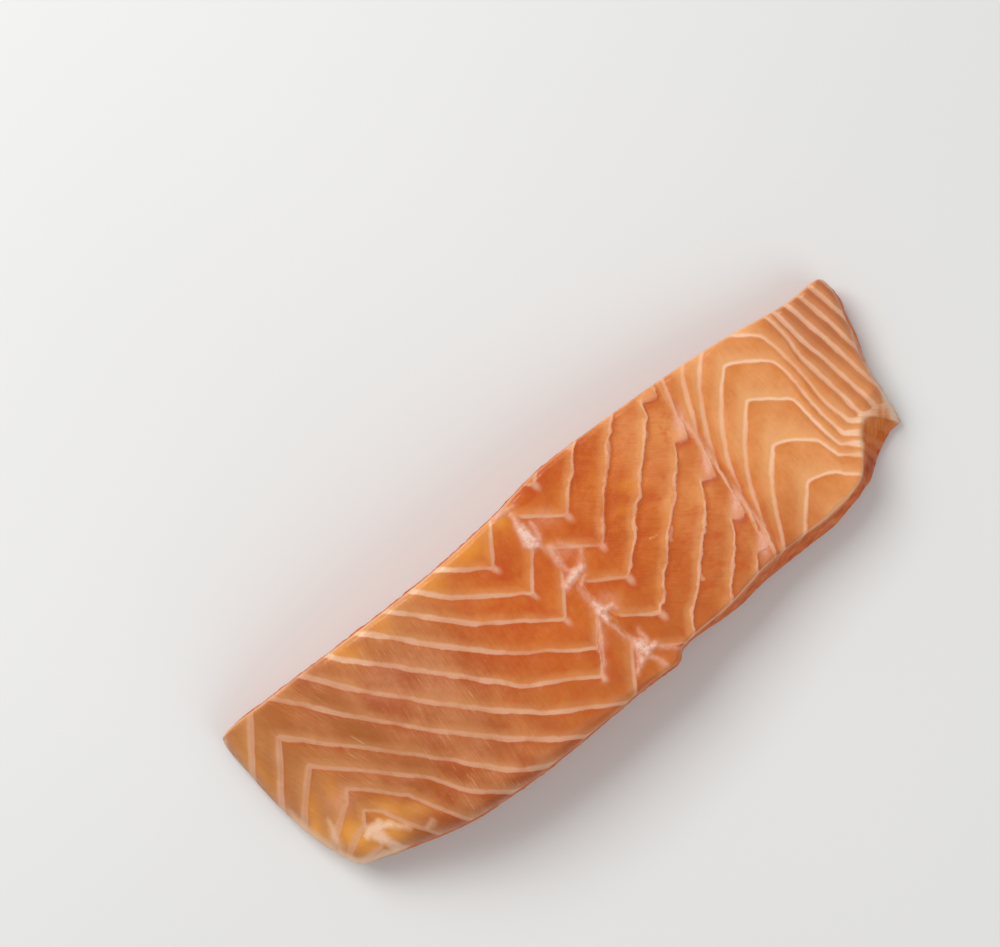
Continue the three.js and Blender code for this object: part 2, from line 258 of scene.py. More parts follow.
PALE_PATCHES = [
    (36.2, 8.8, 2.6, 1.1, 60, 1), (36, -0.4, 2.7, 1.1, 60, 1), (35.7, -10.2, 2.7, 1.1, 60, 1),
    (35.3, -19.8, 2.6, 1.1, 60, 1), (4, 10.2, 2.4, 1.6, -40, 0.3), (3.4, 2.6, 2, 1.6, -40, 0.25),
    (4.2, -10, 2.2, 1.4, -40, 0.35), (-1.4, -15, 2, 1.2, 60, 0.3), (-62, -10.4, 2.6, 2.4, 0, 0.3),
    (-32, -2, 5, 5, 0, 0.1), (-41, 3.5, 5, 4, 0, 0.14), (37, -13, 0.5, 6.5, 0, 0.6),
    (37.2, 6, 0.6, 5, 0, 0.7),
]

# Where the looks come and go: smooth ramps over a number that Places gives for each point. A ramp is 0 at
# its first number and 1 at its second, and a row is the product of its ramps.
RAMPS = {
    "far_loin": [("y", -2, 8)],
    "mid_loin": [("x", -44, -28)],
    "corner": [("x", -60.5, -64)],
    "past_loin": [("x", -26, -6)],
    "flank_lines": [("x", 0, 8)],
    "past_groove": [("x", 45, 49)],
    "end_lines": [("x", 62, 65)],
    "comb": [("y", -9, -13), ("x", 59, 62)],
    "belly": [("along", 37, 40)],
    "clear_loin": [("x", -60, -40)],
    "clear_belly": [("x", 43, 49)],
    "faint_end": [("x", 57, 62)],
    "off_pins": [("from_pins", 0.5, 1.4)],
    "down_wall": [("below", 0.5, 2)],
    "hook": [("along", 32, 33.4), ("along", 36.4, 35.6)],
    "tail": [("fold", 0.2, 0.06), ("past", 0.3, 0.08), ("from_pins", 1.5, 3), ("along", 13, 11.5)],
    "before_sheet": [("past", 0.4, 0.98)],
    # The two rim ramps below place the painted highlight along the near and far cuts.
    "near_rim_highlight": [("x", 8, 14), ("to_near", 0.55, 0.1)],
    "far_rim_highlight": [("to_far", 0.6, 0.1)],
    "above_wall": [("below", 1.2, 0.2)],
    "narrow_skin": [("x", -60, -54)],
    "skin": [("to_skin", 2.2, 0.7), ("x", -42, -56), ("y", -4, -9), ("below", 14, 4)],
    "far_band": [("x", -50, -44), ("x", 2, -4), ("to_far", 3.4, 0.8)],
    "wide_far_band": [("x", -50, -42), ("x", -12, -26), ("to_far", 14, 3)],
    "belly_tone": [("x", 37, 43)],
    "flank_tone": [("x", 18, 28)],
    "far_flank": [("y", -6, 6)],
    "near_cut": [("y", -10, -20), ("x", 54, 44)],
    "end_tone": [("x", 58, 67)],
    "far_end": [("y", -4, 6)],
    "near_tone": [("y", -6, -24), ("x", -30, -18), ("x", 56, 44)],
    "back_fibres": [("x", -38, -56)],
    "in_back": [("x", -50, -68)],
    "centre": [("x", -34, -10)],
    "belly_wall": [("x", 34, 44)],
}

# Numbers that change over the piece: the one to begin with, and those that take over along a ramp.
STEPS = {
    "loin_width": (0.62, ("far_loin", 0.95), ("mid_loin", 0.92), ("corner", 1.3)),
    "narrowing": (1, ("past_loin", 0.55)),
    "belly_width": (0.65, ("past_groove", 0.38)),
    "loin_strength": (0.8, ("clear_loin", 0.95)),
    "belly_strength": (0.6, ("clear_belly", 1)),
    "on_wall": (1, ("down_wall", 0.45)),
    "in_hook": (1, ("hook", 0.4)),
    "flank_tone": (0.52, ("far_flank", 0.56)),
    "near_cut": (1, ("near_cut", 0.6)),
    "end_tone": (0.6, ("far_end", 1)),
    "skin_offset": (0, ("narrow_skin", 2.2)),
}
LINES = {
    "flank_width": 0.45, "added_at_end": 0.3, "added_in_comb": 0.5,
    "strength": 0.84, "flank_strength": 1, "faint_end": 0.62,
}
BELLY_GLOW = {"x": 49.5, "reach": 5.5}
WIDE_FAR_BAND_SHARE = 0.4
WALL_DEPTH = {"from": 0.2, "loin": 4.5, "belly": 2.2}

# Number of cells along, across and down the sides, and how strongly they crowd towards the edges. The
# foot has one cell for several of the edge.
CELLS_ALONG = 464
CELLS_ACROSS = 144
SIDE_ROWS = 20
FOOT_CELL = 4
FOOT_BORDER = 0.9
CROWDING = 0.45
SAMPLES_PER_KNOT = 120
NORMAL_REACH = 22
NOISE_CELLS = 128


def smoothstep(value, low, high):
    share = np.clip((value - low) / (high - low), 0, 1)
    return share * share * (3 - 2 * share)


def fade(value, low, high):
    """1 up to low, and 0 from high on."""
    return 1 - smoothstep(value, low, high)


def mix(a, b, share):
    return a + (b - a) * share


def bell(distance, reach):
    return np.exp(-((distance / reach) ** 2))


def uneven(x, y, by, size, seed):
    """Smooth random numbers from -by to by whose bumps are about size wide."""
    grid = np.random.default_rng(seed).uniform(-1, 1, (NOISE_CELLS, NOISE_CELLS))
    u, v = x / size + NOISE_CELLS / 2, y / size + NOISE_CELLS / 2
    i, j = np.floor(u).astype(int), np.floor(v).astype(int)
    fu, fv = u - i, v - j
    fu, fv = fu * fu * (3 - 2 * fu), fv * fv * (3 - 2 * fv)

    def corner(di, dj):
        return grid[(i + di) % NOISE_CELLS, (j + dj) % NOISE_CELLS]

    return by * mix(mix(corner(0, 0), corner(1, 0), fu), mix(corner(0, 1), corner(1, 1), fu), fv)


# Outline


def closed_curve(knots):
    """The centripetal Catmull-Rom curve through the knots, SAMPLES_PER_KNOT points for each."""
    knots = np.array(knots, float)
    share = np.linspace(0, 1, SAMPLES_PER_KNOT, endpoint=False)[:, None]
    points = []
    for k in range(len(knots)):
        p0, p1, p2, p3 = (knots[(k + step) % len(knots)] for step in (-1, 0, 1, 2))
        d0, d1, d2 = (math.sqrt(np.linalg.norm(b - a)) for a, b in ((p0, p1), (p1, p2), (p2, p3)))
        start = ((p1 - p0) / d0 - (p2 - p0) / (d0 + d1) + (p2 - p1) / d1) * d1
        end = ((p2 - p1) / d1 - (p3 - p1) / (d1 + d2) + (p3 - p2) / d2) * d1
        a = 2 * p1 - 2 * p2 + start + end
        b = -3 * p1 + 3 * p2 - 2 * start - end
        points.append(a * share**3 + b * share**2 + start * share + p1)
    return np.concatenate(points)


def closer_at_ends(share):
    return mix(share, (1 - np.cos(math.pi * share)) / 2, CROWDING)


def side_points(number, cells):
    """The points of one stretch of the outline, with its end, spaced by closer_at_ends."""
    before = sum(len(s) for s in STRETCHES[:number]) * SAMPLES_PER_KNOT
    length = len(STRETCHES[number]) * SAMPLES_PER_KNOT
    dense = OUTLINE[np.arange(before, before + length + 1) % len(OUTLINE)]
    travelled = np.concatenate([[0], np.cumsum(np.linalg.norm(np.diff(dense, axis=0), axis=1))])
    goals = closer_at_ends(np.linspace(0, 1, cells + 1)) * travelled[-1]
    return np.stack([np.interp(goals, travelled, dense[:, axis]) for axis in (0, 1)], 1)


OUTLINE = closed_curve(sum(STRETCHES, []))
NEAR_SIDE = side_points(0, CELLS_ALONG)
BELLY_SIDE = side_points(1, CELLS_ACROSS)
FAR_SIDE = side_points(2, CELLS_ALONG)[::-1]
BACK_SIDE = side_points(3, CELLS_ACROSS)[::-1]


def blended_grid(near, belly, far, back):
    """A grid of points between four sides that share their corners."""
    u = closer_at_ends(np.linspace(0, 1, len(near)))[:, None, None]
    v = closer_at_ends(np.linspace(0, 1, len(back)))[None, :, None]
    low = mix(near[0], near[-1], u)
    high = mix(far[0], far[-1], u)
    return mix(near[:, None], far[:, None], v) + mix(back[None], belly[None], u) - mix(low, high, v)


# Regions


def flank_share(x):
    return smoothstep(x, *FLANK_BEGINS) * fade(x, *FLANK_ENDS)


def off_pin_row(x, y):
    return x - PIN_ROW["x"] - PIN_ROW["slant"] * y


# Sheets


def count_past(crossings, place):
    """How many of the crossings lie above a place, in parts too. Beyond them the end gaps go on."""
    first_gap, last_gap = crossings[0] - crossings[1], crossings[-2] - crossings[-1]
    start = crossings[0] + GAPS_BEYOND * first_gap
    end = crossings[-1] - GAPS_BEYOND * last_gap
    counts = [-GAPS_BEYOND, *range(len(crossings)), len(crossings) - 1 + GAPS_BEYOND]
    return np.interp(-place, -np.array([start, *crossings, end]), counts)


def arm_number(arm, x, y, bend=0.0):
    return arm["first"] + count_past(arm["crossings"], y - bend - arm["rise"] * (x - arm["x"]))


def soft_min(a, b, softness=APEX_SOFTNESS):
    return -softness * np.logaddexp(-a / softness, -b / softness)


def soft_max(a, b):
    return -soft_min(-a, -b)


def back_bend(x, y):
    fan = np.maximum(arm_number(BACK_ARM, x, y) - BACK_FANS_OUT["first"], 0)
    return BACK_FANS_OUT["per_sheet"] * fan * np.minimum(0, x - BACK_FANS_OUT["before"])


def loin_bend(x, y):
    rough_number = arm_number(LOIN_ARM, x, y)
    fan = np.minimum(rough_number, LOIN_FANS_OUT["last"]) - LOIN_FANS_OUT["middle"]
    steeper = LOIN_STEEPENS["by"] * np.minimum(0, y - LOIN_STEEPENS["below"])
    lift = LOIN_LIFTS["by"] * np.maximum(0, LOIN_LIFTS["below"] - y)
    return (
        LOIN_FLATTENS["by"] * np.maximum(0, x - LOIN_FLATTENS["from"])
        + LOIN_FANS_OUT["per_sheet"] * fan * np.minimum(0, x - LOIN_FANS_OUT["before"])
        + steeper * fade(x, LOIN_STEEPENS["x_full"], LOIN_STEEPENS["x_none"])
        + lift * smoothstep(x, LOIN_LIFTS["x_none"], LOIN_LIFTS["x_full"])
    )


def hook_bend(x):
    """Before the rib groove the flank's sheets hook up and then down."""
    rise = HOOK["rise"] * smoothstep(x, HOOK["from"], HOOK["x"])
    return rise - HOOK["fall"] * np.maximum(0, x - HOOK["x"])


def rising_number(x, y):
    past_groove = x - BELLY_RISE["x"]
    dip = BELLY_RISE["dip"] * np.exp(-past_groove / BELLY_RISE["reach"])
    climb = BELLY_RISE["rise"] * past_groove - dip
    return BELLY_RISE["first"] + count_past(BELLY_RISE["crossings"], y - climb)


def falling_number(x, y):
    step = FALL_STEP["by"] * fade(x, FALL_STEP["x_full"], FALL_STEP["x_none"])
    bow = FALL_BOW["by"] * bell(x - FALL_BOW["x"], FALL_BOW["reach"])
    to_end = x + BELLY_FALL["lean"] * y - step * np.tanh((y - FALL_STEP["y"]) / FALL_STEP["over"])
    to_end = to_end - bow * smoothstep(y, FALL_BOW["from"], FALL_BOW["to"])
    falling = BELLY_FALL["first"] + count_past(BELLY_FALL["crossings"], to_end)
    return soft_max(falling, arm_number(COMB, x, y))


def sheets(x, y, hooked=True):
    """The number of the sheets at a place, and how far the place is from where two arms meet.

    The number is whole on a sheet, and in between it counts on towards the near cut."""
    x = x + uneven(x, y, *SHEET_SWAY)
    ripple = mix(*RIPPLE_SHARE, flank_share(x))
    y = y + uneven(x, y, *SHEET_WAVE) + ripple * uneven(x, y, *SHEET_RIPPLE)

    back = arm_number(BACK_ARM, x, y, back_bend(x, y))
    loin = soft_min(back, arm_number(LOIN_ARM, x, y, loin_bend(x, y)))
    pin_side = arm_number(PIN_SIDE_ARM, x, y)

    short_arm = arm_number(FLANK_SHORT_ARM, x, y)
    long_arm = arm_number(FLANK_LONG_ARM, x, y, hook_bend(x) * hooked)
    rising = soft_max(soft_max(short_arm, long_arm), rising_number(x, y))
    shoulder = soft_min(arm_number(SHOULDER_ARM, x, y), arm_number(PLATEAU, x, y), BELLY_SOFTNESS)
    past_pins = soft_min(soft_min(rising, shoulder), falling_number(x, y), BELLY_SOFTNESS)

    before_pins = off_pin_row(x, y) < 0
    number = np.where(before_pins, soft_max(loin, pin_side), past_pins)
    fold = np.where(before_pins, np.abs(loin - pin_side), np.abs(short_arm - long_arm))
    return number, fold


def sheet_gap(x, y):
    """Distance from sheet to sheet, measured square to them."""
    number = sheets(x, y, False)[0]
    at_right = sheets(x + GAP_STEP, y, False)[0]
    above = sheets(x, y + GAP_STEP, False)[0]
    return 1 / np.clip(np.hypot(at_right - number, above - number) / GAP_STEP, *GAP_SLOPES)


# Strokes and patches


def inside_strokes(x, y, table):
    """How many millimetres a place lies inside the stroke that covers it most, and its strength."""
    x, y = x + uneven(x, y, *STROKE_SWAY), y + uneven(x, y, *STROKE_WAVE)
    inside = np.full(x.shape, FAR_OUTSIDE)
    shown = np.zeros(x.shape)
    for x0, y0, x1, y1, start, end, strength in table:
        along_x, along_y = x1 - x0, y1 - y0
        share = ((x - x0) * along_x + (y - y0) * along_y) / (along_x**2 + along_y**2)
        share = np.clip(share, 0, 1)
        away = np.hypot(x - x0 - share * along_x, y - y0 - share * along_y)
        depth = mix(start, end, share) - away
        shown = np.where(depth > inside, strength, shown)
        inside = np.maximum(inside, depth)
    return inside, shown


def patches(x, y, table):
    total = np.zeros_like(x)
    for at_x, at_y, along, across, turn, strength in table:
        cos, sin = math.cos(math.radians(turn)), math.sin(math.radians(turn))
        u, v = (x - at_x) * cos + (y - at_y) * sin, (y - at_y) * cos - (x - at_x) * sin
        total = np.maximum(total, strength * np.exp(-((u / along) ** 2) - (v / across) ** 2))
    return total


# Height


def thickness(x):
    to_back = (x - THICKEST_AT) / (BACK_EDGE["x"] - THICKEST_AT)
    to_belly = (x - THICKEST_AT) / (BELLY_EDGE["x"] - THICKEST_AT)
    fall = np.where(
        x < THICKEST_AT,
        (THICKEST - BACK_EDGE["thickness"]) * np.maximum(to_back, 0) ** BACK_EDGE["power"],
        (THICKEST - BELLY_EDGE["thickness"]) * np.maximum(to_belly, 0) ** BELLY_EDGE["power"],
    )
    return THICKEST - fall


def rounding(distance, radius):
    """How far a rounded edge has fallen at a distance in from it."""
    inside = np.minimum(distance / radius, 1)
    return radius * (1 - np.sqrt(1 - (1 - inside) ** 2))


def distances_to(line, x, y):
    """Distance from each place to the nearest point of a line."""
    nearest = np.full(x.shape, np.inf)
    for point in line:
        nearest = np.minimum(nearest, (x - point[0]) ** 2 + (y - point[1]) ** 2)
    return np.sqrt(nearest)


def face_fall(x, y):
    """How far the rounded upper edges lie below the plain face, and the distances to the four sides."""
    sharp = smoothstep(x, NEAR_EDGE["soft_to"], NEAR_EDGE["sharp_from"])
    crisp = smoothstep(x, CRISP_EDGE["from"], CRISP_EDGE["to"])
    near_rounding = mix(mix(SOFT_EDGE, SHARP_EDGE, sharp), CRISP_EDGE["radius"], crisp)
    away = [distances_to(side, x, y) for side in (NEAR_SIDE, FAR_SIDE, BACK_SIDE, BELLY_SIDE)]
    radii = (near_rounding, SHARP_EDGE, BACK_ROUNDING, BELLY_ROUNDING)
    return np.max([rounding(a, r) for a, r in zip(away, radii)], axis=0), away


def tip_drop(x, y):
    away = np.hypot(x - BELLY_TIP["x"], y - BELLY_TIP["y"])
    return BELLY_TIP["drop"] * np.maximum(1 - away / BELLY_TIP["reach"], 0) ** BELLY_TIP["power"]


def rib_groove(x, y):
    across = (x - RIB_GROOVE["x"] - uneven(x, y, *RIB_SWAY)) / RIB_GROOVE["half_width"]
    along = (y - RIB_GROOVE["y"]) / RIB_GROOVE["half_length"]
    return np.exp(-(across**2) - along**4)


def segment_relief(x, y, in_flank):
    """Each muscle segment swells between its sheets, and in the flank ends in a step above the next."""
    number, gap = sheets(x, y)[0], sheet_gap(x, y)
    past = number - np.floor(number)
    away = np.minimum(past, 1 - past) * gap
    beyond_pins = smoothstep(np.abs(off_pin_row(x, y)), *CLEAR_OF_PINS)
    groove = mix(*SHEET_GROOVE["depth"], in_flank) * bell(away, SHEET_GROOVE["half_width"])
    swell = mix(*SEGMENT_SWELL, in_flank) * np.sin(math.pi * past)
    late = np.mod(number - FLAKE_STEP["late_by"], 1)
    step = FLAKE_STEP["height"] * in_flank * late * fade(late, *FLAKE_STEP["falls"])
    return swell * beyond_pins - groove * beyond_pins + step


def relief(x, y):
    in_flank = flank_share(x)
    pin_groove = PIN_GROOVE["depth"] * bell(off_pin_row(x, y), PIN_GROOVE["half_width"])
    sag = SAG["depth"] * np.sin(math.pi * x / SAG["along"]) * np.cos(math.pi * y / SAG["across"])
    fine = mix(*FINE_LUMP_SHARE, in_flank) * uneven(x, y, *FINE_LUMPS)
    lumps = uneven(x, y, *LUMPS) + fine
    pin_inside, pin_strength = inside_strokes(x, y, PIN_FAT)
    knobs = FAT_KNOBS["height"] * pin_strength * smoothstep(pin_inside, *FAT_KNOBS["edge"])
    chips = CHIP_RELIEF["height"] * smoothstep(inside_strokes(x, y, FLAKE_CHIPS)[0], *CHIP_RELIEF["edge"])
    rib = RIB_GROOVE["depth"] * rib_groove(x, y)
    return segment_relief(x, y, in_flank) - pin_groove - rib + sag + lumps + knobs + chips


# Mesh


def ring_of(grid):
    """The border of a grid of numbers, anticlockwise, each once."""
    return np.concatenate([grid[:-1, 0], grid[-1, :-1], grid[:0:-1, -1], grid[0, :0:-1]])


def grid_faces(grid):
    return np.stack([grid[:-1, :-1], grid[1:, :-1], grid[1:, 1:], grid[:-1, 1:]], -1).reshape(-1, 4)


def upper_face():
    """The grid of points of the upper face, and each point's distances to the four sides."""
    face = blended_grid(NEAR_SIDE, BELLY_SIDE, FAR_SIDE, BACK_SIDE)
    x, y = face[..., 0], face[..., 1]
    fall, away = face_fall(x, y)
    z = thickness(x) + relief(x, y) - fall - tip_drop(x, y)
    return np.stack([x, y, z], -1), [a.ravel() for a in away]


def feet_under(upper):
    """Where the sides meet the floor below the points of the upper edge, and the way inward there."""
    x, y = upper[:, 0], upper[:, 1]
    lean = mix(LEAN["loin"], LEAN["belly"], smoothstep(x, LEAN["from"], LEAN["to"]))
    at_tip = smoothstep(y, *TIP_UPRIGHT["y"]) * smoothstep(x, *TIP_UPRIGHT["x"])
    undercut = smoothstep(x, BACK_UNDERCUT["from"], BACK_UNDERCUT["to"])
    foot_x = x + BACK_UNDERCUT["reach"] * undercut
    tip_x, tip_y = np.transpose(TIP_FOOT)
    near_cut = np.arange(len(x)) < CELLS_ALONG
    below_tip = near_cut & (foot_x > tip_x[0])
    foot_y = np.where(below_tip, np.interp(foot_x, tip_x, tip_y), y - lean * (1 - at_tip))
    feet = np.column_stack([foot_x, foot_y])
    before, after = np.roll(feet, NORMAL_REACH, 0), np.roll(feet, -NORMAL_REACH, 0)
    inward = np.column_stack([before[:, 1] - after[:, 1], after[:, 0] - before[:, 0]])
    return feet, inward / np.linalg.norm(inward, axis=1, keepdims=True)


def side_rings(upper, feet, inward):
    """The rings of points from under the upper edge down to the floor."""
    foot_radius = np.minimum(FOOT_ROUNDING, FOOT_SHARE * upper[:, 2])
    steps = np.linalg.norm(np.diff(upper[:, :2], axis=0), axis=1)
    travelled = np.concatenate([[0], np.cumsum(steps)])
    for row in range(1, SIDE_ROWS + 1):
        quarter = row / SIDE_ROWS * math.pi / 2
        level = 0.0 if row == SIDE_ROWS else math.cos(quarter) ** SIDE_CURVE
        height = upper[:, 2] * level
        dents = uneven(travelled, height, *DENTS) + uneven(travelled, height, *SMALL_DENTS)
        inset = rounding(height, foot_radius) - SIDE_BULGE * np.sin(math.pi * level)
        inset = inset - dents * math.sin(2 * quarter)
        place = mix(upper[:, :2], feet, 1 - level) + inward * inset[:, None]
        yield np.column_stack([place, height])


def underside(ring, edge_points, inward, made):
    """Points and faces of the foot, a coarser grid than the edge round it.

    The faces of its narrow border each take in several points of the edge."""
    edge = np.arange(0, len(ring), FOOT_CELL)
    border = edge_points[edge, :2] + FOOT_BORDER * inward[edge]
    border = np.concatenate([border, border[:1]])
    along, across = CELLS_ALONG // FOOT_CELL, CELLS_ACROSS // FOOT_CELL
    corners = np.cumsum([0, along, across, along, across])
    near, belly, far, back = (border[start : end + 1] for start, end in zip(corners, corners[1:]))
    foot = blended_grid(near, belly, far[::-1], back[::-1]).reshape(-1, 2)
    grid = np.arange(made, made + len(foot)).reshape(along + 1, across + 1)
    inner = ring_of(grid)
    outer = [ring[(edge + step) % len(ring)] for step in range(FOOT_CELL, -1, -1)]
    border_faces = np.stack([*outer, inner, np.roll(inner, -1)], 1)
    return np.column_stack([foot, np.zeros(len(foot))]), [grid_faces(grid)[:, ::-1], border_faces]


def build_piece():
    face, away = upper_face()
    top = face.reshape(-1, 3)
    grid = np.arange(len(top)).reshape(face.shape[:2])
    points, faces = [top], [grid_faces(grid)]
    made = len(top)
    ring = ring_of(grid)
    feet, inward = feet_under(top[ring])
    for places in side_rings(top[ring], feet, inward):
        lower = np.arange(made, made + len(ring))
        made += len(ring)
        points.append(places)
        faces.append(np.stack([ring, lower, np.roll(lower, -1), np.roll(ring, -1)], 1))
        ring = lower
    foot_points, foot_faces = underside(ring, points[-1], inward, made)
    return {
        "vertices": np.concatenate([*points, foot_points]),
        "faces": faces + foot_faces,
        "face_end": len(top),
        "foot_start": made,
        "away": away,
    }


def make_mesh(piece):
    vertices, faces = piece["vertices"], piece["faces"]
    low, high = vertices.min(0), vertices.max(0)
    solid_low, solid_high = (np.array(corner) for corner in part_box(NODE))
    middle, solid_middle = (low + high) / 2, (solid_low + solid_high) / 2
    centre = np.array([middle[0], middle[1], low[2]])
    stand = np.array([solid_middle[0], solid_middle[1], solid_low[2]])
    places = (vertices - centre) * MM + stand

    mesh = bpy.data.meshes.new("escalope_flesh")
    mesh.vertices.add(len(places))
    mesh.vertices.foreach_set("co", places.astype(np.float32).ravel())
    corners = np.concatenate([group.ravel() for group in faces])
    mesh.loops.add(len(corners))
    mesh.loops.foreach_set("vertex_index", corners.astype(np.int32))
    sizes = np.concatenate([np.full(len(group), group.shape[1]) for group in faces])
    mesh.polygons.add(len(sizes))
    mesh.polygons.foreach_set("loop_start", (np.cumsum(sizes) - sizes).astype(np.int32))
    mesh.update(calc_edges=True)
    mesh.validate()
    mesh.shade_smooth()
    return mesh


# Looks, as numbers at each point that the material reads


class Places:
    """Where the points of the mesh lie. On the face their depth below it is 0."""

    def __init__(self, piece):
        self.x, self.y, z = piece["vertices"].T
        count = len(self.x)
        self.on_face = np.arange(count) < piece["face_end"]
        self.on_foot = np.arange(count) >= piece["foot_start"]
        self.below = np.where(self.on_face, 0, np.maximum(thickness(self.x) - z, 0))
        self.along = self.x + SHEET_SLANT * self.below
        self.number, self.fold = sheets(self.along, self.y)
        self.past = self.number - np.floor(self.number)
        self.from_pins = np.abs(off_pin_row(self.along, self.y))
        self.to_near, self.to_far, to_back = (
            np.concatenate([away, np.zeros(count - len(away))]) for away in piece["away"][:3]
        )
        to_skin = np.minimum(to_back, self.to_near) + uneven(self.x, self.y, *SKIN_SWAY)
        self.to_skin = to_skin + self.steps("skin_offset")

    def ramp(self, name):
        return math.prod(smoothstep(getattr(self, axis), zero, one) for axis, zero, one in RAMPS[name])

    def steps(self, name):
        value, *steps = STEPS[name]
        for ramp, number in steps:
            value = mix(value, number, self.ramp(ramp))
        return value

    def patches(self, table):
        return patches(self.x, self.y, table)


def line_width(at):
    loin = at.steps("loin_width") * at.steps("narrowing")
    belly = at.steps("belly_width") + LINES["added_at_end"] * at.ramp("end_lines")
    belly = belly + LINES["added_in_comb"] * at.ramp("comb")
    return mix(mix(loin, LINES["flank_width"], at.ramp("flank_lines")), belly, at.ramp("belly"))


def line_strength(at):
    near_end = at.ramp("faint_end") * (1 - at.ramp("comb"))
    belly = at.steps("belly_strength") * mix(1, LINES["faint_end"], near_end)
    shown = mix(at.steps("loin_strength"), LINES["flank_strength"], flank_share(at.along))
    shown = LINES["strength"] * mix(shown, belly, at.ramp("belly"))
    shown = shown * (1 + uneven(at.x, at.y, *STRENGTH_SWAY)) * at.ramp("off_pins")
    return shown * at.steps("on_wall") * at.steps("in_hook") * (1 - at.patches(FAINT_LINES))


def line_looks(at):
    glow = bell(at.x - BELLY_GLOW["x"], BELLY_GLOW["reach"])
    return {
        "sheet_number": at.number,
        "sheet_gap": sheet_gap(at.along, at.y),
        "line_width": line_width(at),
        "line_strength": line_strength(at),
        "tail": at.ramp("tail"),
        "glow": glow * at.ramp("before_sheet") * at.ramp("belly"),
    }


def rim_looks(at):
    """Painted highlights along the cuts, the pale skin round the back corner, and painted shade in the rib
    groove.
    """
    return {
        "rim": np.maximum(at.ramp("far_rim_highlight"), at.ramp("near_rim_highlight")) * at.ramp("above_wall"),
        "soft_rim": at.ramp("skin"),
        # Where the painted shade of the rib groove lies.
        "groove": rib_groove(at.x, at.y) * at.on_face,
    }


def tone_looks(at):
    """Tones of the flesh and regions of the piece."""
    far_glow = np.maximum(at.ramp("far_band"), WIDE_FAR_BAND_SHARE * at.ramp("wide_far_band"))
    belly_tone = np.maximum(at.ramp("belly_tone"), at.steps("flank_tone") * at.ramp("flank_tone"))
    wall_depth = mix(WALL_DEPTH["loin"], WALL_DEPTH["belly"], at.ramp("belly_wall") * (at.y < 0))
    return {
        "far_glow": far_glow * at.on_face,
        "belly_tone": belly_tone * at.steps("near_cut"),
        "end_tone": at.ramp("end_tone") * (1 - at.ramp("comb")) * at.steps("end_tone"),
        "near_tone": np.maximum(at.ramp("near_tone"), at.patches(SHADED_PATCHES) * at.on_face),
        "in_flank": flank_share(at.along),
        "in_belly": at.ramp("belly"),
        "side": smoothstep(at.below, WALL_DEPTH["from"], wall_depth),
        "under": at.on_foot,
        **{name: at.ramp(name) for name in ("back_fibres", "in_back", "centre")},
    }


def patch_looks(at):
    tables = {"warm": WARM_AND_GLOW_PATCHES, "dark": HOOK_SHADOW_AND_BLOTCH_PATCHES, "corner_glow": CORNER_GLOWS, "pale": PALE_PATCHES}
    looks = {name: at.patches(table) * at.on_face for name, table in tables.items()}
    looks["tip_tan"] = at.patches(TIP_PATCHES)
    looks["wall_shade"] = at.patches(WALL_SHADES) * ~at.on_face
    return looks


def stroke_looks(at):
    """How far inside the strokes the points lie. Only the silver skin goes down the walls too."""
    looks = {}
    for name, table in STROKES.items():
        inside, looks[name + "_strength"] = inside_strokes(at.x, at.y, table)
        looks[name] = np.where(at.on_face | (table is SILVER_SKIN), inside, FAR_OUTSIDE)
    return looks


def write_looks(mesh, piece):
    at = Places(piece)
    for looks in (line_looks, rim_looks, tone_looks, patch_looks, stroke_looks):
        for name, values in looks(at).items():
            layer = mesh.attributes.new(name, "FLOAT", "POINT")
            layer.data.foreach_set("value", np.asarray(values, np.float32).ravel())


# Colours


def linear(red, green, blue):
    """A colour given as it looks on a screen, from 0 to 255."""

    def level(channel):
        return channel / 12.92 if channel <= 0.04045 else ((channel + 0.055) / 1.055) ** 2.4

    return (*(level(channel / 255) for channel in (red, green, blue)), 1)


BACK_FLESH = linear(192, 126, 66)
LOIN_DARK = linear(170, 82, 28)
LOIN_LIGHT = linear(196, 124, 74)
CENTRE_DARK = linear(192, 82, 8)
CENTRE_LIGHT = linear(214, 120, 42)
DEEP = linear(196, 76, 6)
BELLY_DARK = linear(216, 130, 62)
BELLY_LIGHT = linear(234, 162, 100)
NEAR_FLESH = linear(168, 94, 40)
END_FLESH = linear(182, 104, 60)
LOIN_LINE = linear(222, 168, 134)
FLANK_LINE = linear(240, 180, 144)
BELLY_LINE = linear(252, 208, 174)
FAR_LINE = linear(248, 206, 172)
PALE_GLOW = linear(240, 180, 120)
CORNER_GLOW = linear(240, 170, 84)
FAR_GLOW = linear(234, 168, 98)
WARM = linear(232, 150, 44)
PALE_FLESH = linear(236, 174, 144)
FAT = linear(226, 168, 142)
THICK_FAT = linear(242, 204, 186)
THIN_FAT = linear(226, 150, 108)
CORNER_CREAM = linear(246, 206, 172)
SILVER = linear(220, 190, 164)
# RIM is a painted highlight along the cut edges.
RIM = linear(242, 184, 134)
SKIN_RIM = linear(242, 198, 158)
# The cut walls' colours are the flesh's own, made darker and redder with painted shade.
WALL_DARK = linear(188, 80, 22)
WALL_LIGHT = linear(214, 108, 42)
WALL_LINE = linear(222, 150, 100)
# Painted shade on the wall under the belly tip's notch.
TIP_WALL = linear(140, 46, 2)
TIP_WALL_LIGHT = linear(190, 98, 26)
TIP_TAN = linear(222, 138, 58)
UNDERSIDE = linear(210, 140, 84)
FLOOR_DARK = (0.74, 0.74, 0.73, 1)
FLOOR_LIGHT = (0.78, 0.78, 0.77, 1)

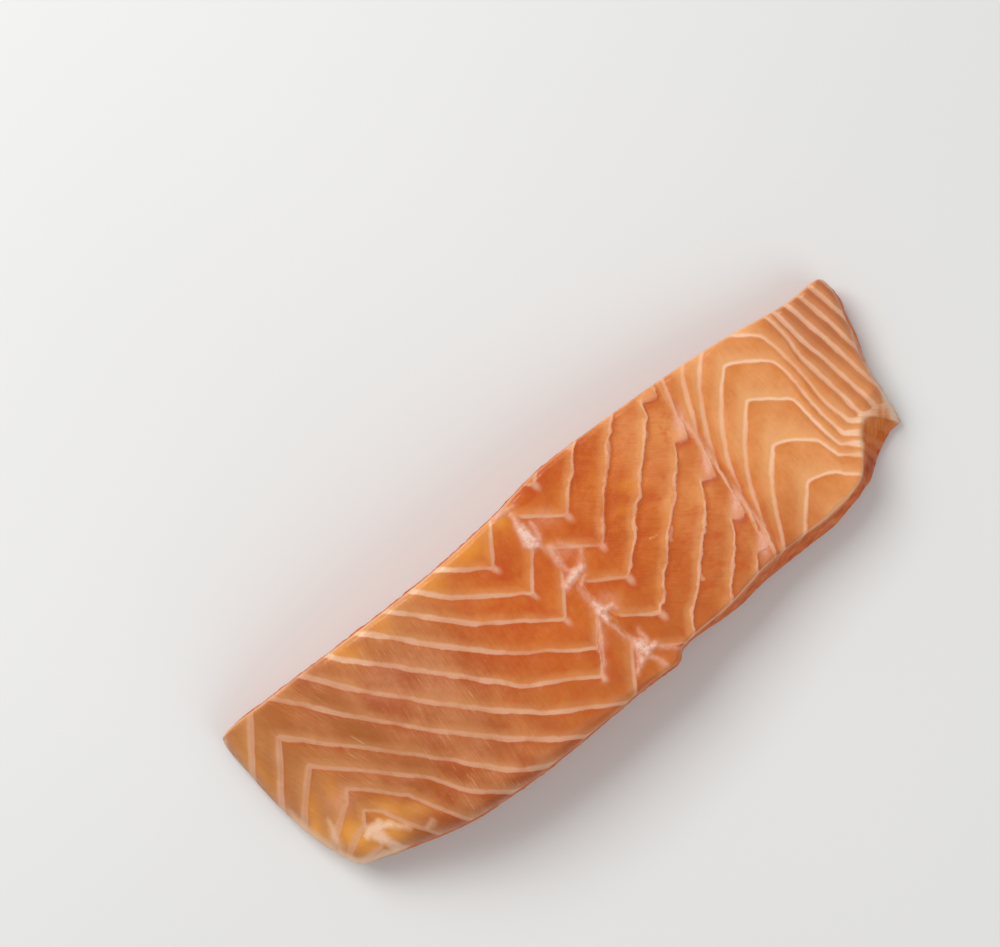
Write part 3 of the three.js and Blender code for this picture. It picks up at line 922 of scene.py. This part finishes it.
# Tints over the flesh: the attribute that says where, how strong, and the colour.
REGION_TINTS = [("near_tone", 0.32, NEAR_FLESH), ("end_tone", 0.8, END_FLESH), ("in_back", 0.6, BACK_FLESH)]
LOCAL_TINTS = [
    # The warm tint is partly painted glow through thin flesh at the edges.
    ("glow", 0.55, PALE_GLOW), ("far_glow", 0.45, FAR_GLOW), ("warm", 0.8, WARM),
    # The dark tint is painted shadow under the hooks and darker blotches of the flesh.
    ("corner_glow", 1, CORNER_GLOW), ("dark", 0.8, DEEP),
]
SHARES = {
    "tail": 0.7, "deep": 0.55, "skin_rim": 0.75, "groove": 0.4, "tip": 0.85, "line_under": 0.8,
    "chips": 0.8, "corner_fat": 0.95, "haze": 0.45, "flank_fibre": 0.7, "belly_fibre": 0.5,
}
LIGHTNESS = {"past_sheet": 0.6, "mottle": 1.6, "fibre": 1.2, "speck": 0.5, "plain": 0.2}

# Grain: the noise's scale per millimetre, its detail and roughness, and for some its turn about Z in
# degrees, its stretch and its distortion.
GRAINS = {
    "long_wave": (0.22, 2, 0.5),
    "short_wave": (1.3, 2, 0.6),
    "line_width": (0.25, 1, 0.5),
    "faint_line": (0.25, 2, 0.5),
    "mottle": (0.16, 3, 0.55),
    "speck": (0.9, 3, 0.6),
    "back_fibre": (2.4, 2, 0.6, -22, (1, 0.08, 0.3)),
    "loin_fibre": (2.4, 2, 0.6, 3, (1, 0.08, 0.3)),
    "flank_fibre": (3, 3, 0.65, 37, (0.09, 1, 0.3)),
    "belly_fibre": (2.2, 3, 0.6, -4, (1, 0.16, 0.3)),
    "cloud": (0.16, 1, 0.5, -10, (1, 0.45, 0.5)),
    "deep": (0.2, 4, 0.6, 20, (0.7, 1, 1), 0.8),
    "streaks": (0.1, 2, 0.5),
    "rim": (0.15, 2, 0.5),
    "wall": (0.45, 3, 0.6, 0, (1, 1, 0.5)),
    "slope": (1.1, 3, 0.6, 37, (1, 0.12, 0.3)),
    "ragged": (1.4, 4, 0.65),
    "milky": (0.8, 3, 0.6),
    "pores": (3.2, 3, 0.6),
    "wet": (0.5, 3, 0.5),
    "floor": (0.004, 2, 0.5),
}

FLESH = {
    "Subsurface Weight": 0.35, "Subsurface Radius": (1, 0.35, 0.15), "Subsurface Scale": 1.6 * MM,
    "IOR": 1.37, "Coat Roughness": 0.12, "Coat IOR": 1.36,
}
FLOOR_ROUGHNESS = 0.6


# Materials


class Nodes:
    """Short ways to add the shader nodes used here."""

    def __init__(self, name):
        self.material = bpy.data.materials.new(name)
        self.material.use_nodes = True
        self.tree = self.material.node_tree
        self.tree.nodes.clear()

    def add(self, kind, **settings):
        node = self.tree.nodes.new(kind)
        for key, value in settings.items():
            setattr(node, key, value)
        return node

    def feed(self, socket, value):
        if isinstance(value, bpy.types.NodeSocket):
            self.tree.links.new(value, socket)
        else:
            socket.default_value = value

    def math(self, operation, *values):
        node = self.add("ShaderNodeMath", operation=operation)
        for socket, value in zip(node.inputs, values):
            self.feed(socket, value)
        return node.outputs[0]

    def chain(self, operation, result, *values):
        for value in values:
            result = self.math(operation, result, value)
        return result

    def times(self, *values):
        return self.chain("MULTIPLY", *values)

    def plus(self, *values):
        return self.chain("ADD", *values)

    def less(self, a, b):
        return self.math("SUBTRACT", a, b)

    def ramp(self, value, low, high, to_low=0.0, to_high=1.0):
        node = self.add("ShaderNodeMapRange", interpolation_type="SMOOTHSTEP")
        for socket, number in zip(node.inputs, (value, low, high, to_low, to_high)):
            self.feed(socket, number)
        return node.outputs[0]

    def between(self, kind, sockets, values, output):
        node = self.add("ShaderNodeMix", data_type=kind, clamp_factor=True)
        for socket, value in zip(sockets, values):
            self.feed(node.inputs[socket], value)
        return node.outputs[output]

    def choose(self, share, a, b):
        """A number between a and b."""
        return self.between("FLOAT", (0, 2, 3), (share, a, b), 0)

    def blend(self, share, a, b):
        """A colour between a and b."""
        return self.between("RGBA", (0, 6, 7), (share, a, b), 2)

    def attribute(self, name):
        return self.add("ShaderNodeAttribute", attribute_name=name).outputs["Fac"]

    def varying(self, name, outside, inside):
        """A number that differs between where an attribute is 0 and where it is 1."""
        return self.choose(self.attribute(name), outside, inside)

    def place(self, turn, stretch):
        """Object coordinates in millimetres, turned about Z and then stretched."""
        own = self.add("ShaderNodeTexCoord").outputs["Object"]
        turned = self.add("ShaderNodeVectorRotate", rotation_type="Z_AXIS")
        self.feed(turned.inputs["Vector"], own)
        self.feed(turned.inputs["Angle"], math.radians(turn))
        scaled = self.add("ShaderNodeVectorMath", operation="MULTIPLY")
        self.feed(scaled.inputs[0], turned.outputs[0])
        self.feed(scaled.inputs[1], tuple(s / MM for s in stretch))
        return scaled.outputs[0]

    def noise(self, scale, detail, roughness, turn=0, stretch=(1, 1, 1), distortion=0):
        """Smooth random numbers from about -0.5 to 0.5."""
        node = self.add("ShaderNodeTexNoise")
        for name, value in (
            ("Vector", self.place(turn, stretch)), ("Scale", scale), ("Detail", detail),
            ("Roughness", roughness), ("Distortion", distortion),
        ):
            self.feed(node.inputs[name], value)
        return self.less(node.outputs["Fac"], 0.5)

    def grain(self, name):
        return self.noise(*GRAINS[name])

    def patchy(self, name, begins, full, low=0.0, high=1.0):
        """Patches of grain that go from low to high over a range of it."""
        return self.ramp(self.grain(name), begins, full, low, high)

    def layered(self, colour, *layers):
        """The colour with each layer, a share and a colour, blended over it in turn."""
        for share, tint in layers:
            colour = self.blend(share, colour, tint)
        return colour

    def tinted(self, colour, tints):
        layers = ((self.times(self.attribute(name), strength), tint) for name, strength, tint in tints)
        return self.layered(colour, *layers)

    def stroke(self, name, ragged, soft):
        """How strongly a place is covered by the strokes that an attribute measures."""
        inside = self.plus(self.attribute(name), ragged)
        return self.times(self.ramp(inside, -soft, soft), self.attribute(name + "_strength"))

    def surface(self, settings):
        """Ends the material with a surface of these settings."""
        shader = self.add("ShaderNodeBsdfPrincipled")
        for name, value in settings.items():
            self.feed(shader.inputs[name], value)
        out = self.add("ShaderNodeOutputMaterial")
        self.feed(out.inputs["Surface"], shader.outputs[0])
        return self.material


def past_sheet(n):
    """Distance past the nearest sheet in millimetres, made ragged. It is below zero before the sheet."""
    long_wave = n.times(n.grain("long_wave"), n.varying("in_flank", 0.7, 2.2))
    short_wave = n.times(n.grain("short_wave"), n.varying("in_flank", 0.2, 0.55))
    wave = n.times(n.plus(long_wave, short_wave), n.varying("in_back", 1.0, 0.5))
    to_sheet = n.less(n.math("FRACT", n.plus(n.attribute("sheet_number"), 0.5)), 0.5)
    return n.plus(n.times(to_sheet, n.attribute("sheet_gap")), wave)


def lines(n, past, faint):
    """How strongly the pale lines show, softer above the sheet than under it."""
    unevenness = n.times(n.varying("in_flank", 1.2, 2.2), n.varying("in_back", 1.0, 0.4))
    uneven_width = n.plus(1.0, n.times(n.grain("line_width"), unevenness))
    half = n.times(n.attribute("line_width"), 0.5, n.math("MAXIMUM", uneven_width, 0.45))
    soft_above, soft_under = n.varying("in_flank", 0.42, 0.35), n.varying("in_belly", 0.18, 0.35)
    above = n.ramp(n.times(past, -1.0), n.less(half, 0.2), n.plus(half, soft_above))
    under = n.ramp(past, n.less(half, 0.15), n.plus(half, soft_under))
    line = n.times(n.less(1.0, n.math("MAXIMUM", above, under)), n.attribute("line_strength"), faint)
    return n.math("MAXIMUM", line, n.times(n.attribute("tail"), SHARES["tail"]))


def fibres(n):
    """Muscle fibres in the direction in which each region's fibres run."""
    loin = n.choose(n.attribute("back_fibres"), n.grain("loin_fibre"), n.grain("back_fibre"))
    loin = n.times(loin, n.varying("centre", 0.9, 0.35))
    flank = n.times(n.grain("flank_fibre"), SHARES["flank_fibre"])
    belly = n.times(n.grain("belly_fibre"), SHARES["belly_fibre"])
    return n.choose(n.attribute("in_belly"), n.choose(n.attribute("in_flank"), loin, flank), belly)


def flesh(n, fibre, speck, in_muscle):
    """Each segment is darker past a sheet and grows lighter to the next one."""
    lightness = n.plus(
        n.times(n.math("FRACT", n.attribute("sheet_number")), LIGHTNESS["past_sheet"]),
        n.times(n.grain("mottle"), LIGHTNESS["mottle"]),
        n.times(fibre, LIGHTNESS["fibre"]),
        n.times(speck, LIGHTNESS["speck"]),
        n.times(n.grain("cloud"), n.varying("centre", 2.2, 0.6)),
        LIGHTNESS["plain"],
    )
    centre = n.attribute("centre")
    loin = n.blend(lightness, LOIN_DARK, LOIN_LIGHT)
    middle = n.blend(lightness, CENTRE_DARK, CENTRE_LIGHT)
    belly = n.blend(lightness, BELLY_DARK, BELLY_LIGHT)
    colour = n.blend(n.attribute("belly_tone"), n.blend(centre, loin, middle), belly)
    colour = n.tinted(colour, REGION_TINTS)
    return n.blend(n.times(n.patchy("deep", 0.03, 0.2), in_muscle, centre, SHARES["deep"]), colour, DEEP)


def with_streaks(n, colour, fibre, past, faint, in_muscle):
    """Adds pale fibres, a painted shadow just past each line and a painted paler glow before it."""
    shadow_after_line = n.times(n.ramp(past, 0.1, 0.35), n.ramp(past, 1.5, 0.4))
    glow_before_line = n.times(n.ramp(past, 0.0, -0.4), n.ramp(past, -2.4, -0.5))
    streaky = n.times(n.varying("in_flank", 0.7, 0.15), n.patchy("streaks", -0.08, 0.1))
    return n.layered(
        colour,
        (n.times(n.ramp(fibre, 0.1, 0.26), in_muscle, streaky), LOIN_LINE),
        # Painted shadow under each flake's step, then a painted glow on the flesh before the next line.
        (n.times(shadow_after_line, n.varying("in_flank", 0.25, 0.4), in_muscle), CENTRE_DARK),
        (n.times(glow_before_line, n.varying("in_flank", 0.22, 0.34), faint), PALE_GLOW),
    )


def with_sides(n, colour, line, line_colour):
    """Adds the lines, the painted highlight along the cuts, the skin rim, the painted shade in the rib
    groove and the cut walls, whose darker colour is partly painted shade.
    """
    skin_rim = n.times(n.attribute("soft_rim"), SHARES["skin_rim"])
    # The walls' darker, redder colour is partly painted shade.
    wall = n.blend(line, n.blend(n.patchy("wall", -0.2, 0.2), WALL_DARK, WALL_LIGHT), WALL_LINE)
    return n.layered(
        colour,
        (line, line_colour),
        # Painted highlight along the cuts, broken up by grain.
        (n.times(n.attribute("rim"), n.patchy("rim", -0.15, 0.12, 0.25, 0.65)), RIM),
        (skin_rim, SKIN_RIM),
        # Painted shade in the rib groove, in the walls' orange.
        (n.times(n.attribute("groove"), SHARES["groove"]), WALL_LIGHT),
        (n.times(n.attribute("side"), n.less(1.0, skin_rim)), wall),
    )


def with_tip_and_underside(n, colour, line):
    under = n.blend(n.patchy("mottle", -0.2, 0.2), UNDERSIDE, CENTRE_LIGHT)
    tan = n.blend(n.patchy("slope", -0.12, 0.14), TIP_WALL_LIGHT, TIP_TAN)
    return n.layered(
        colour,
        (n.times(n.attribute("tip_tan"), SHARES["tip"]), tan),
        (n.times(n.attribute("wall_shade"), n.patchy("slope", -0.15, 0.15, 0.45, 1.0)), TIP_WALL),
        (n.attribute("under"), n.blend(n.times(line, SHARES["line_under"]), under, BELLY_LINE)),
    )


def with_fat(n, colour, line_colour, ragged, pin):
    """Adds the strokes of flakes, skin and fat."""
    milky = n.patchy("milky", -0.2, 0.05)
    core = n.times(n.ramp(n.plus(n.attribute("pin_fat"), ragged), 0.25, 0.8), milky)
    return n.layered(
        colour,
        (n.times(n.stroke("chips", ragged, soft=0.25), SHARES["chips"]), line_colour),
        (n.times(n.stroke("corner_fat", ragged, soft=0.8), SHARES["corner_fat"]), CORNER_CREAM),
        (n.stroke("silver_skin", n.times(ragged, 0.6), soft=0.5), SILVER),
        (n.times(n.stroke("pin_fat", n.plus(ragged, 0.5), soft=0.9), SHARES["haze"]), THIN_FAT),
        (n.times(pin, n.choose(milky, 0.6, 1.0)), n.blend(core, FAT, THICK_FAT)),
    )


def bumps(n, fibre, speck, line, pin):
    height = n.plus(
        n.times(fibre, n.varying("side", 0.16, 0.04)), n.times(n.grain("pores"), 0.04),
        n.times(speck, n.varying("in_flank", 0.06, 0.16)), n.times(line, n.varying("in_flank", 0.04, 0.16)),
        n.times(pin, 0.12),
    )
    bump = n.add("ShaderNodeBump")
    for name, value in (("Strength", 0.8), ("Distance", MM), ("Height", height)):
        n.feed(bump.inputs[name], value)
    return bump.outputs[0]


def flesh_material():
    n = Nodes("salmon_flesh")
    in_belly, in_muscle = n.attribute("in_belly"), n.less(1.0, n.attribute("in_belly"))
    fibre, speck = fibres(n), n.grain("speck")
    faint = n.patchy("faint_line", -0.2, 0.05, n.varying("in_belly", 0.7, 0.88))
    past = past_sheet(n)
    line = lines(n, past, faint)
    line_colour = n.blend(in_belly, n.blend(n.attribute("in_flank"), LOIN_LINE, FLANK_LINE), BELLY_LINE)
    line_colour = n.blend(n.attribute("far_glow"), line_colour, FAR_LINE)
    ragged = n.times(n.grain("ragged"), 0.9)
    pin = n.stroke("pin_fat", ragged, soft=0.45)

    colour = flesh(n, fibre, speck, in_muscle)
    colour = with_streaks(n, colour, fibre, past, faint, in_muscle)
    pale = n.times(n.attribute("pale"), n.patchy("speck", -0.2, 0.1, 0.8, 1.2))
    colour = n.blend(pale, n.tinted(colour, LOCAL_TINTS), PALE_FLESH)
    colour = with_sides(n, colour, line, line_colour)
    colour = with_tip_and_underside(n, colour, line)
    colour = with_fat(n, colour, line_colour, ragged, pin)
    return n.surface({
        "Base Color": colour,
        "Roughness": n.choose(n.attribute("side"), n.patchy("wet", -0.2, 0.2, 0.3, 0.48), 0.55),
        "Normal": bumps(n, fibre, speck, line, pin),
        "Specular IOR Level": n.varying("side", 0.5, 0.2),
        "Coat Weight": n.varying("side", 0.15, 0.0),
        **FLESH,
    })


def floor_material():
    n = Nodes("pale_floor")
    colour = n.blend(n.patchy("floor", -0.3, 0.3), FLOOR_DARK, FLOOR_LIGHT)
    return n.surface({"Base Color": colour, "Roughness": FLOOR_ROUGHNESS})


# Piece


def add_object(name, mesh, material):
    mesh.materials.append(material)
    thing = bpy.data.objects.new(name, mesh)
    bpy.context.collection.objects.link(thing)
    return thing


piece = build_piece()
mesh = make_mesh(piece)
write_looks(mesh, piece)
escalope = add_object("escalope_flesh", mesh, flesh_material())
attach(escalope, "root")
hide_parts(NODE)


# Stage

FLOOR_HALF = 2
floor_corners = [(x * FLOOR_HALF, y * FLOOR_HALF, 0) for x, y in ((-1, -1), (1, -1), (1, 1), (-1, 1))]
floor_mesh = bpy.data.meshes.new("floor")
floor_mesh.from_pydata(floor_corners, [], [(0, 1, 2, 3)])
floor = add_object("floor", floor_mesh, floor_material())


# The view is straight down, with the slice turned by this angle, its long side rising to the right. It is
# centred a little beyond the far cut, and its width is measured at the height of the face.
TURN = math.radians(37)
VIEW_WIDTH = 195 * MM
VIEW_HEIGHT_OVER_FACE = 650 * MM
FACE_LEVEL = 20 * MM
VIEW_CENTRE = (0.7 * MM, 28.3 * MM)
SENSOR = 36
NEAREST_SEEN = 0.01

camera_data = bpy.data.cameras.new("camera")
camera_data.sensor_width = SENSOR
camera_data.lens = SENSOR * VIEW_HEIGHT_OVER_FACE / VIEW_WIDTH
camera_data.clip_start = NEAREST_SEEN
camera = bpy.data.objects.new("camera", camera_data)
camera.location = (*VIEW_CENTRE, FACE_LEVEL + VIEW_HEIGHT_OVER_FACE)
camera.rotation_euler = (0, 0, -TURN)
bpy.context.collection.objects.link(camera)
bpy.context.scene.camera = camera

# Two soft square lights that face the slice. Azimuth 0 is the top of the view, clockwise, in degrees.
LIGHTS = {
    "key": {"azimuth": -50, "elevation": 50, "distance": 0.9, "size": 0.5, "power": 5.7},
    "fill": {"azimuth": 120, "elevation": 45, "distance": 1.0, "size": 0.8, "power": 2.2},
}
SKY_STRENGTH = 0.4

for name, look in LIGHTS.items():
    data = bpy.data.lights.new(name, "AREA")
    data.shape = "SQUARE"
    data.size = look["size"]
    data.energy = look["power"]
    light = bpy.data.objects.new(name, data)
    turn = math.radians(look["azimuth"]) + TURN
    rise = math.radians(look["elevation"])
    flat = look["distance"] * math.cos(rise)
    light.location = (flat * math.sin(turn), flat * math.cos(turn), look["distance"] * math.sin(rise))
    light.rotation_euler = (math.pi / 2 - rise, 0, -turn + math.pi)
    bpy.context.collection.objects.link(light)

world = bpy.data.worlds.new("studio")
world.use_nodes = True
sky = world.node_tree.nodes["Background"]
sky.inputs["Color"].default_value = (1, 1, 1, 1)
sky.inputs["Strength"].default_value = SKY_STRENGTH
bpy.context.scene.world = world
bpy.context.scene.view_settings.view_transform = "Standard"
